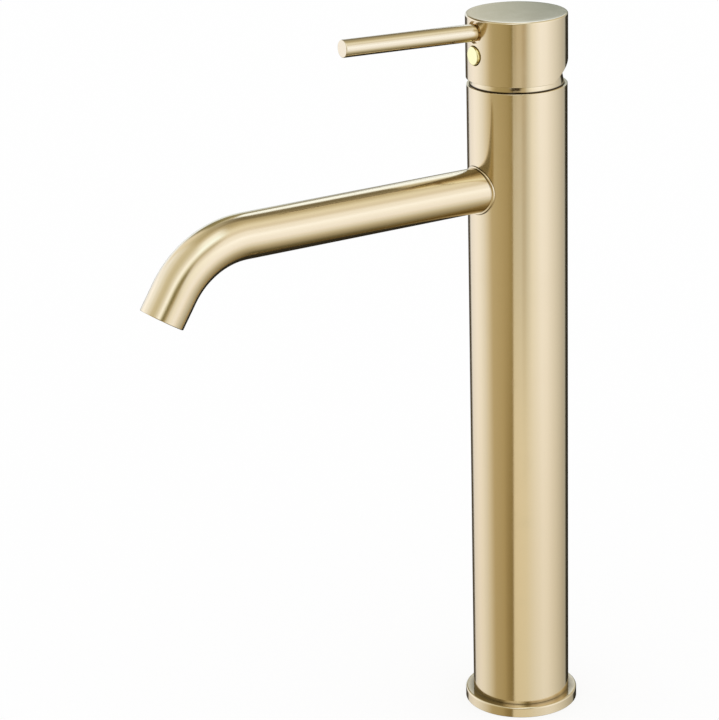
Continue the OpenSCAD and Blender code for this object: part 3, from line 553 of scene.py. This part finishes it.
# Rows of points on the side and the top stop short of the rounded edge by ROW_MARGIN. The top's are closer
# together near the edge, where CROWN_H and EDGE_H bend it down: a little all over, and more at the very rim.
SIDE_ROWS, FACE_ROWS, ROW_MARGIN, ROW_POWER = 36, 28, 1.2, 1.6
FACE_BAND, CROWN_H, CROWN_POWER, EDGE_H, EDGE_POWER = 1.1, 0.1, 2, 0.12, 16
hollow_low = math.asin((HUB_Z - PIVOT_Z) / HOLLOW_R)
hollow = ball_arc(HOLLOW_R, np.linspace(math.acos(BOSS_R / HOLLOW_R), hollow_low, 48))
cap = eased([(hollow[-1, 0], HUB_Z, 0), (HUB_R, HUB_Z, 0.15), (HUB_R, HUB_TOP, HUB_EDGE),
             (0, HUB_TOP, 0)])[1:-1]
side_rows = np.stack([np.full(SIDE_ROWS, HUB_R),
                      np.linspace(HUB_Z + HUB_EDGE, HUB_TOP - ROW_MARGIN, SIDE_ROWS)], -1)
face_reach = HUB_R - ROW_MARGIN
face_rows = np.stack([face_reach - face_reach * np.linspace(0, 1, FACE_ROWS) ** ROW_POWER,
                      np.full(FACE_ROWS, HUB_TOP)], -1)
upper_edge = int(np.argmax(cap[:, 1] > (HUB_Z + HUB_TOP) / 2))
blank_profile = np.vstack([
    [(0, BOSS_Z), (BOSS_R - BOSS_EDGE, BOSS_Z), (BOSS_R, BOSS_Z + BOSS_EDGE)],
    hollow, cap[:upper_edge], side_rows, cap[upper_edge:], face_rows])
face = blank_profile[:, 1] > HUB_TOP - FACE_BAND
part_way = blank_profile[face, 0] / HUB_R
blank_profile[face, 1] -= CROWN_H * part_way ** CROWN_POWER + EDGE_H * part_way ** EDGE_POWER
hub_mesh = turned_mesh("handle_cap", blank_profile, steps=288)
hub = add_piece("handle_cap", hub_mesh, "handle", "handle_hub")


# %% Cutting tools with flared mouths
TOOL_STEP, TOOL_GROWTH, TOOL_BEYOND = 0.3, 0.02, 6.0
SLANT_X, SLANT_Y, SLANT_Z = 60, 90, 60


def round_tool(name, radius, start, flare, height, slope=0.0, columns=144):
    """A round cutter along the lever's direction. For each angle t round it, d is the distance at which it
    leaves the hub's round side. Its last part opens from radius to radius + flare by a quarter arc, and a
    plain end stands clear of the hub."""
    t = np.linspace(0, 2 * np.pi, columns, endpoint=False)[None, :]
    lean = np.array([0, -math.cos(slope), math.sin(slope)])
    over = np.array([0, math.sin(slope), math.cos(slope)])
    bend = np.linspace(0, math.pi / 2, 7)[:, None]
    wide = radius + flare * (1 - np.cos(bend))
    exit_y = np.sqrt(HUB_R ** 2 - (wide * np.cos(t)) ** 2)
    d = (exit_y + wide * np.sin(t) * over[1]) / math.cos(slope) - flare * (1 - np.sin(bend))
    low = np.array([[0.0], [radius], [radius]])
    deep = np.array([[start], [start], [start + TOOL_STEP]]) + 0 * t
    far = d.max() + TOOL_BEYOND + np.zeros((2, columns))
    r_all = np.vstack([low + 0 * t, wide + 0 * t, wide[-1:] + TOOL_GROWTH + 0 * t, 0 * t])
    d_all = np.vstack([deep, d, far])
    points = (r_all * np.cos(t))[..., None] * np.array([1.0, 0, 0]) + (r_all * np.sin(t))[..., None] * over
    points = points + d_all[..., None] * lean + np.array([0, 0, height])
    mesh = mesh_from(name, points.reshape(-1, 3), grid_quads(len(r_all), columns, False))
    return bpy.data.objects.new(name, mesh)


def slant_tool(name, start_y, angle, low):
    """A block whose upper face rises backwards at an angle from the line y = start_y, z = low."""
    block = [[x, y, z] for x in (-SLANT_X, SLANT_X) for y in (0, SLANT_Y) for z in (-SLANT_Z, 0)]
    c, s = math.cos(angle), math.sin(angle)
    turn = np.array([[1, 0, 0], [0, c, -s], [0, s, c]])
    points = np.array(block, float) @ turn.T + np.array([0, start_y, low])
    quads = np.array([(0, 1, 3, 2), (4, 6, 7, 5), (0, 4, 5, 1), (2, 3, 7, 6), (0, 2, 6, 4), (1, 5, 7, 3)])
    return bpy.data.objects.new(name, mesh_from(name, points, quads))


def carve(piece, tools):
    """Cuts the tools out of a piece with exact booleans, and keeps only the result."""
    for tool in tools:
        bpy.context.scene.collection.objects.link(tool)
        cutter = piece.modifiers.new(tool.name, "BOOLEAN")
        cutter.operation, cutter.solver, cutter.object = "DIFFERENCE", "EXACT", tool
        bpy.context.view_layer.update()
        result = bpy.data.meshes.new_from_object(piece.evaluated_get(bpy.context.evaluated_depsgraph_get()))
        piece.modifiers.clear()
        piece.data = result
        bpy.data.objects.remove(tool)
        tidy(result)
        work = bmesh.new()
        work.from_mesh(result)
        open_edges = sum(not edge.is_manifold for edge in work.edges)
        print("  after a cut:", round(work.calc_volume() * 1e9), "cubic mm, open edges", open_edges)
        work.free()
    print(piece.name, "carved to", len(result.polygons), "faces")


# %% Cut the pockets and the slant
LEVER_Z, SLOPE, LEVER_R, LEVER_SEAT, LEVER_GAP, LEVER_FLARE = 324.4, math.radians(2), 3.9, 21.5, 1.0, 0.3
PLUG_Z, PLUG_R, PLUG_BACK, PLUG_GAP, PLUG_FLARE = 314.8, 4.2, 19.25, 0.3, 0.2
RELIEF_Y, RELIEF_ANGLE = 3.8, math.radians(29)
carve(hub, [
    slant_tool("slant", RELIEF_Y, RELIEF_ANGLE, HUB_Z),
    round_tool("lever_pocket", LEVER_R + LEVER_GAP, LEVER_SEAT, LEVER_FLARE, LEVER_Z, SLOPE),
    round_tool("plug_pocket", PLUG_R + PLUG_GAP, PLUG_BACK, PLUG_FLARE, PLUG_Z)])


# %% [markdown]
# ## Lever and plug
# The lever is a turned rod with a flat tip and a threaded root. It leans up by two degrees, so its lathe
# form is turned to lie along the lever's direction. The plug hides the grub screw: a small polished button
# with a soft edge.

# %% Turn the lever and the plug
LEVER_REACH, ROOT_R, ROOT_Y = 90.0, 3.0, LEVER_SEAT - 9.5
PLUG_FACE, PLUG_RIM_R, PLUG_RIM_Y = HUB_R + 0.9, PLUG_R + 0.28, 20.55


def forwards(height, slope=0.0):
    """The turn and the place that lay a form along the lever's direction: z becomes forwards."""
    c, s = math.cos(slope), math.sin(slope)
    return [(1, 0, 0), (0, s, -c), (0, c, s)], (0, 0, height)


lever_profile = eased([(0, ROOT_Y, 0), (ROOT_R, ROOT_Y, 0.3), (ROOT_R, LEVER_SEAT, 0.05),
                       (LEVER_R, LEVER_SEAT, 0.2), (LEVER_R, LEVER_REACH, 0.35), (0, LEVER_REACH, 0)])
lever_mesh = turned_mesh("lever_pin", lever_profile, 128, forwards(LEVER_Z, SLOPE))
lever = add_piece("lever_pin", lever_mesh, "handle", "lever_rod")
plug_profile = eased([(0, PLUG_BACK, 0), (PLUG_RIM_R, PLUG_BACK, 0.1), (PLUG_RIM_R, PLUG_RIM_Y, 0.1),
                      (PLUG_R, PLUG_RIM_Y, 0.05), (PLUG_R, PLUG_FACE, 0.5), (0, PLUG_FACE, 0)], support=0.05)
plug_mesh = turned_mesh("screw_button", plug_profile, 128, forwards(PLUG_Z))
plug = add_piece("screw_button", plug_mesh, "handle", "index_plug", slot="polished_gold")

# %% [markdown]
# ## Fine detail as node groups
# Grain, machining rings, speckle and the haze of handling are shared by several materials, so each is a group
# with named inputs. A group puts out only values: how high a spot stands, how much its shade and roughness
# differ from the mean, how hazy it is.


# %% Build the shared groups
def new_group(name, inputs, outputs):
    """An empty shader group with float inputs {name: value} and outputs, and its two end nodes."""
    group = bpy.data.node_groups.new(name, "ShaderNodeTree")
    group.interface.new_socket("Vector", in_out="INPUT", socket_type="NodeSocketVector")
    for key, value in inputs.items():
        group.interface.new_socket(key, in_out="INPUT", socket_type="NodeSocketFloat").default_value = value
    for key in outputs:
        group.interface.new_socket(key, in_out="OUTPUT", socket_type="NodeSocketFloat")
    return group, group.nodes.new("NodeGroupInput"), group.nodes.new("NodeGroupOutput")


def put_out(group, entry, leave, height):
    """Puts a height out as it is and, centred on 0 and scaled by the group's Amount, as the shade."""
    shade = math_node(group, "MULTIPLY", math_node(group, "SUBTRACT", height, 0.5), entry.outputs["Amount"])
    group.links.new(height, leave.inputs["Height"])
    group.links.new(shade, leave.inputs["Shade"])


def build_grain():
    """Fine brushed lines: noise that is stretched by the mapping outside, in two sizes."""
    group, entry, leave = new_group("satin_grain", {"Scale": 4000.0, "Amount": 0.1}, ["Height", "Shade"])
    fine = add_node(group, "ShaderNodeTexNoise", {"Vector": entry.outputs["Vector"],
                    "Scale": entry.outputs["Scale"], "Detail": 3.0, "Roughness": 0.6})
    broad_scale = math_node(group, "MULTIPLY", entry.outputs["Scale"], 0.07)
    broad = add_node(group, "ShaderNodeTexNoise", {"Vector": entry.outputs["Vector"], "Scale": broad_scale,
                     "Detail": 2.0})
    both = math_node(group, "ADD", math_node(group, "MULTIPLY", fine.outputs[0], 0.7),
                     math_node(group, "MULTIPLY", broad.outputs[0], 0.3))
    put_out(group, entry, leave, both)
    return group


def build_haze():
    """Soft cloudy patches of handling: slow noise, lifted only where it is high."""
    group, entry, leave = new_group("handling_haze", {"Scale": 60.0, "Amount": 0.05}, ["Haze"])
    cloud = add_node(group, "ShaderNodeTexNoise", {"Vector": entry.outputs["Vector"],
                     "Scale": entry.outputs["Scale"], "Detail": 4.0, "Roughness": 0.65, "Distortion": 0.6})
    high = smooth_step(group, cloud.outputs[0], 0.45, 0.75)
    group.links.new(math_node(group, "MULTIPLY", high, entry.outputs["Amount"]), leave.inputs["Haze"])
    return group


def build_rings():
    """Machining rings: a sine wave along the turned axis, broken up by noise."""
    group, entry, leave = new_group("machining_rings", {"Pitch": 0.0004, "Amount": 0.1}, ["Height", "Shade"])
    split_xyz = add_node(group, "ShaderNodeSeparateXYZ", {"Vector": entry.outputs["Vector"]})
    turns = math_node(group, "DIVIDE", split_xyz.outputs[2], entry.outputs["Pitch"])
    wobble = add_node(group, "ShaderNodeTexNoise", {"Vector": entry.outputs["Vector"], "Scale": 300.0,
                      "Detail": 3.0})
    wave = math_node(group, "SINE", math_node(group, "ADD", math_node(group, "MULTIPLY", turns, math.tau),
                     math_node(group, "MULTIPLY", wobble.outputs[0], 2.0)))
    ring = math_node(group, "ADD", math_node(group, "MULTIPLY", wave, 0.35), wobble.outputs[0])
    put_out(group, entry, leave, ring)
    return group


def build_speckle():
    """Fine speckle of moulded or fired surfaces: small noise, and rare pits from tiny cells."""
    group, entry, leave = new_group("fine_speckle", {"Scale": 2500.0, "Amount": 0.06}, ["Height", "Shade"])
    speck = add_node(group, "ShaderNodeTexNoise", {"Vector": entry.outputs["Vector"],
                     "Scale": entry.outputs["Scale"], "Detail": 2.0})
    cell_scale = math_node(group, "MULTIPLY", entry.outputs["Scale"], 0.25)
    cells = add_node(group, "ShaderNodeTexVoronoi", {"Vector": entry.outputs["Vector"], "Scale": cell_scale})
    pits = smooth_step(group, cells.outputs["Distance"], 0.0, 0.12)
    both = math_node(group, "MULTIPLY", speck.outputs[0], pits)
    put_out(group, entry, leave, both)
    return group


GROUPS = {group.name: group for group in (build_grain(), build_haze(), build_rings(), build_speckle())}
print("groups", sorted(GROUPS))

# %% [markdown]
# ## Finishes
# The satin gold is a thin hard coating on brushed brass. It is metal all through, so its colour is the tint
# of its reflections. The grain runs round each tube, which the mapping does: it squeezes the noise along the
# tube's axis. Roughness rises and falls a little with the grain and the haze, and a very low bump breaks the
# highlights. The lever's gold is painted paler than the body's, as painted light for the paler light that it
# reflects. The inner pieces get finishes of their own: turned brass, drawn copper, rubber, moulded plastic,
# fired ceramic and steel.


# %% Make the recipe for a finish
# The last colour is painted shade: the dark mixed into the metal where light is lost in the gap between two
# pieces.
TONE_SHARE, TONE_RANGE, SEAM_SHADE_COLOR = 0.5, 0.12, (0.05, 0.035, 0.015)


def linear(*srgb):
    """A colour written as 0 to 255 steps, turned into the linear values that nodes use."""
    c = np.array(srgb) / 255
    return tuple(np.where(c <= 0.04045, c / 12.92, ((c + 0.055) / 1.055) ** 2.4))


def finish_material(name, color, metallic, roughness, group, stretch=(1, 1, 1), bump=0.1, depth=2e-6,
                    haze=0.04, coat=0.0, unshaded_share=None):
    """A Principled material: colour and roughness varied by one detail group and the haze. Where a share
    function is given, it makes the share of full colour at a place; the rest is painted shade, the dark of a
    shaded seam."""
    material = bpy.data.materials.new(name)
    material.use_nodes = True
    tree = material.node_tree
    tree.nodes.clear()
    place = add_node(tree, "ShaderNodeTexCoord").outputs["Object"]
    squeezed = add_node(tree, "ShaderNodeMapping", {"Vector": place, "Scale": stretch}).outputs[0]
    detail = add_node(tree, "ShaderNodeGroup", node_tree=GROUPS[group])
    tree.links.new(squeezed, detail.inputs["Vector"])
    cloud = add_node(tree, "ShaderNodeGroup", node_tree=GROUPS["handling_haze"])
    tree.links.new(place, cloud.inputs["Vector"])
    cloud.inputs["Amount"].default_value = haze
    tone = math_node(tree, "MULTIPLY", detail.outputs["Shade"], TONE_SHARE)
    darker, lighter = (tuple(min(1.0, c * k) for c in color) for k in (1 - TONE_RANGE, 1 + TONE_RANGE))
    colored = mix_colors(tree, math_node(tree, "ADD", tone, 0.5, clamp=True), darker, lighter)
    # Painted shade: towards a seam the colour is mixed down to the dark shade colour.
    if unshaded_share:
        spot = add_node(tree, "ShaderNodeSeparateXYZ", {"Vector": place}).outputs
        colored = mix_colors(tree, unshaded_share(tree, spot), SEAM_SHADE_COLOR, colored)
    rough = math_node(tree, "ADD", math_node(tree, "ADD", detail.outputs["Shade"], roughness),
                      cloud.outputs["Haze"], clamp=True)
    relief = add_node(tree, "ShaderNodeBump", {"Height": detail.outputs["Height"], "Strength": bump,
                      "Distance": depth})
    surface = add_node(tree, "ShaderNodeBsdfPrincipled", {"Base Color": colored, "Roughness": rough,
                       "Metallic": metallic, "Coat Weight": coat, "Normal": relief.outputs[0]})
    add_node(tree, "ShaderNodeOutputMaterial", {"Surface": surface.outputs[0]})
    return material


print("detail groups for it:", ", ".join(GROUPS))

# %% [markdown]
# ## Painted shade at the seams
# Where two pieces meet, light gets lost in the gap between them, and painted shade darkens the metal towards
# it. Each function gives the share of full colour at a place on one piece; the rest is painted shade.


# %% Say where the painted shade at the seams lies
# Painted shade: the first number is the width in millimetres of its soft edge, the others the share of full
# colour kept at the collar's sides and at the column's root.
SEAM_SHADE_SOFT, SIDE_SHARE, FOOT_SHARE = 0.5, 0.8, 0.28


def step_mm(tree, length, low, high, start=0.0, end=1.0):
    """A smooth step along a length, whose two ends are given in millimetres."""
    return smooth_step(tree, length, low * mm, high * mm, start, end)


def hypotenuse(tree, first, second):
    """The length of the long side of a right triangle: how far a spot is from an axis."""
    squares = (math_node(tree, "POWER", side, 2.0) for side in (first, second))
    return math_node(tree, "SQRT", math_node(tree, "ADD", *squares))


def neck_unshaded(tree, spot):
    """Painted shade: dark where the neck ring goes down into the column."""
    return step_mm(tree, spot[2], COLUMN_TOP + 0.25, COLUMN_TOP + 0.65)


def foot_unshaded(tree, spot):
    """Painted shade: darker towards the column's root, full colour at the foot's edge."""
    return step_mm(tree, hypotenuse(tree, spot[0], spot[1]), COLUMN_R - 1.3, FLANGE_R + 0.55, FOOT_SHARE, 1.0)


def collar_shade_lift(tree, spot):
    """How much of the painted shade along the collar is lifted: most at its sides, none at its top and its very
    bottom.
    """
    up = math_node(tree, "SUBTRACT", spot[2], SPOUT_Z * mm)
    above, below = step_mm(tree, up, -9.5, -7.0, 0.0, SIDE_SHARE), step_mm(tree, up, 7.0, 2.0)
    return math_node(tree, "MULTIPLY", above, below)


def spout_unshaded(tree, spot):
    """Painted shade: a dark line on the spout where it meets the collar."""
    seam = step_mm(tree, hypotenuse(tree, spot[0], spot[1]), COLUMN_R + 0.7, COLUMN_R + 0.7 + SEAM_SHADE_SOFT)
    return math_node(tree, "MAXIMUM", seam, collar_shade_lift(tree, spot))


def column_unshaded(tree, spot):
    """Painted shade: a dark line on the column round the collar, on the front only."""
    ring = hypotenuse(tree, spot[0], math_node(tree, "SUBTRACT", spot[2], SPOUT_Z * mm))
    seam = step_mm(tree, ring, COLLAR_R, COLLAR_R + SEAM_SHADE_SOFT)
    seam = math_node(tree, "MAXIMUM", seam, collar_shade_lift(tree, spot))
    return math_node(tree, "MAXIMUM", seam, step_mm(tree, spot[1], -2.0, 0.0))


print("seams of", SEAM_SHADE_SOFT, "mm")

# %% Make the finishes
GOLD = linear(226, 208, 171)
AROUND_Z, AROUND_Y = (0.04, 0.04, 1.0), (0.04, 1.0, 0.04)
gold_upright = finish_material("satin_gold_upright", GOLD, 1.0, 0.12, "satin_grain", AROUND_Z)
gold_lying = finish_material("satin_gold_lying", GOLD, 1.0, 0.13, "satin_grain", AROUND_Y)
# Copies of the gold for the neck, foot, column and spout, each with painted shade at its seams.
gold_neck, gold_foot, gold_column = (
    finish_material("satin_gold_" + name, GOLD, 1.0, 0.12, "satin_grain", AROUND_Z, unshaded_share=unshaded_share)
    for name, unshaded_share in (("neck", neck_unshaded), ("foot", foot_unshaded), ("column", column_unshaded)))
gold_spout = finish_material("satin_gold_spout", GOLD, 1.0, 0.13, "satin_grain", AROUND_Y, unshaded_share=spout_unshaded)
# Painted light: the lever's copy of the gold is paler, for the paler light that it reflects.
gold_lever = finish_material("satin_gold_lever", linear(226, 211, 178), 1.0, 0.13, "satin_grain", AROUND_Y)
gold_polished = finish_material("polished_gold", linear(240, 231, 172), 1.0, 0.10, "satin_grain", AROUND_Y,
                                bump=0.03, haze=0.02)
brass = finish_material("turned_brass", linear(214, 178, 108), 1.0, 0.30, "machining_rings",
                        bump=0.4, depth=2e-5)
copper = finish_material("drawn_copper", linear(226, 160, 120), 1.0, 0.28, "satin_grain", (1, 1, 0.03),
                         bump=0.3)
steel = finish_material("turned_steel", linear(196, 197, 200), 1.0, 0.25, "machining_rings",
                        bump=0.3, depth=1e-5)
rubber = finish_material("black_rubber", linear(38, 38, 40), 0.0, 0.72, "fine_speckle", bump=0.3, depth=2e-5)
white_plastic, grey_plastic, blue_plastic = (
    finish_material(name, color, 0.0, roughness, "fine_speckle", bump=0.2, depth=1e-5)
    for name, color, roughness in (("white_plastic", linear(236, 234, 228), 0.42),
                                   ("grey_plastic", linear(150, 152, 154), 0.45),
                                   ("pale_blue_plastic", linear(170, 198, 210), 0.42)))
ceramic = finish_material("lapped_ceramic", linear(243, 241, 235), 0.0, 0.14, "fine_speckle",
                          bump=0.1, depth=4e-6, coat=0.3)
FINISHES = {"satin_gold": gold_upright, "polished_gold": gold_polished, "raw_brass": brass, "copper": copper,
            "steel": steel, "rubber": rubber, "white_plastic": white_plastic, "grey_plastic": grey_plastic,
            "blue_plastic": blue_plastic, "ceramic": ceramic}
print("finishes", len(FINISHES))

# %% [markdown]
# ## Dressing
# Each skin gets the gold whose grain runs round it, with its own painted shade at its seams. The pieces of the
# frame take the finish of their slot, so that the inside is dressed too.

# %% Dress every piece
for piece, finish in ((foot, gold_foot), (column, gold_column), (neck, gold_neck), (hub, gold_upright),
                      (spout, gold_spout), (collar, gold_lying), (lever, gold_lever), (plug, gold_polished)):
    piece.data.materials.clear()
    piece.data.materials.append(finish)
for subpart in frame["record"]["subparts"]:
    node = frame["nodes"][subpart["node"]]
    for material_slot in node.material_slots:
        material_slot.material = FINISHES[subpart["material_slot"]]
print("dressed", len(frame["nodes"]), "nodes")

# %% [markdown]
# ## The floor
# The floor is pale and wide. To the camera most of its brightness is its own, so that it is as white as the
# wall behind, and a part is lit by the studio, so that it keeps the soft shadow round the foot. The metal
# reflects the tent's skirt instead of the floor.

# %% Lay the floor
FLOOR_HALF, FLOOR_WHITE, OWN_LIGHT = 4, (0.98, 0.98, 0.98, 1), 0.8


def corners(x_low, x_high, y_low, y_high, z):
    """The four corners of a level sheet, anticlockwise seen from above."""
    return [(x_low, y_low, z), (x_high, y_low, z), (x_high, y_high, z), (x_low, y_high, z)]


floor_mesh = bpy.data.meshes.new("floor")
floor_mesh.from_pydata(corners(-FLOOR_HALF, FLOOR_HALF, -FLOOR_HALF, FLOOR_HALF, 0), [], [(0, 1, 2, 3)])
floor = bpy.data.objects.new("floor", floor_mesh)
bpy.context.scene.collection.objects.link(floor)
floor.visible_glossy = False
floor_material = bpy.data.materials.new("pale_floor")
floor_material.use_nodes = True
tree = floor_material.node_tree
tree.nodes.clear()
matt = add_node(tree, "ShaderNodeBsdfDiffuse", {"Color": FLOOR_WHITE})
glow = add_node(tree, "ShaderNodeEmission", {"Color": (1, 1, 1, 1), "Strength": 1.0})
share = math_node(tree, "MULTIPLY", add_node(tree, "ShaderNodeLightPath").outputs["Is Camera Ray"], OWN_LIGHT)
both = add_node(tree, "ShaderNodeMixShader", {0: share, 1: matt.outputs[0], 2: glow.outputs[0]})
add_node(tree, "ShaderNodeOutputMaterial", {"Surface": both.outputs[0]})
floor_mesh.materials.append(floor_material)
print("floor laid")

# %% [markdown]
# ## A brown board above
# A brown board lies level above the spout and left of the lever. It draws the brown band along the top of the
# spout and the dark line along the top of the lever. It is near, so each piece sees it in another direction,
# which a colour of the tent could not do. Its edges are soft. Only reflections see it.

# %% Hang the board
BOARD_X, BOARD_Y, BOARD_Z, BOARD_PAINT = (-0.075, 0.0), (-0.2, -0.005), 0.355, (0.23, 0.20, 0.13, 1)
# The soft edges: each goes from clear to solid.
SOFT_X, SOFT_Y = ((-0.072, -0.050), (0.0, -0.022)), (-0.190, -0.095)
board_mesh = bpy.data.meshes.new("brown_board")
board_mesh.from_pydata(corners(*BOARD_X, *BOARD_Y, BOARD_Z), [], [(0, 1, 2, 3)])
board = bpy.data.objects.new("brown_board", board_mesh)
bpy.context.scene.collection.objects.link(board)
for ray in ("visible_camera", "visible_diffuse", "visible_shadow", "visible_transmission"):
    setattr(board, ray, False)
board_material = bpy.data.materials.new("soft_board")
board_material.use_nodes = True
tree = board_material.node_tree
tree.nodes.clear()
place = add_node(tree, "ShaderNodeTexCoord").outputs["Object"]
spot = add_node(tree, "ShaderNodeSeparateXYZ", {"Vector": place}).outputs
solid = math_node(tree, "MULTIPLY", *(smooth_step(tree, spot[0], *edge) for edge in SOFT_X))
solid = math_node(tree, "MULTIPLY", solid, smooth_step(tree, spot[1], *SOFT_Y))
paint = add_node(tree, "ShaderNodeEmission", {"Color": BOARD_PAINT, "Strength": 1.0})
clear = add_node(tree, "ShaderNodeBsdfTransparent")
both = add_node(tree, "ShaderNodeMixShader", {0: solid, 1: clear.outputs[0], 2: paint.outputs[0]})
add_node(tree, "ShaderNodeOutputMaterial", {"Surface": both.outputs[0]})
board_mesh.materials.append(board_material)
print("board hung")
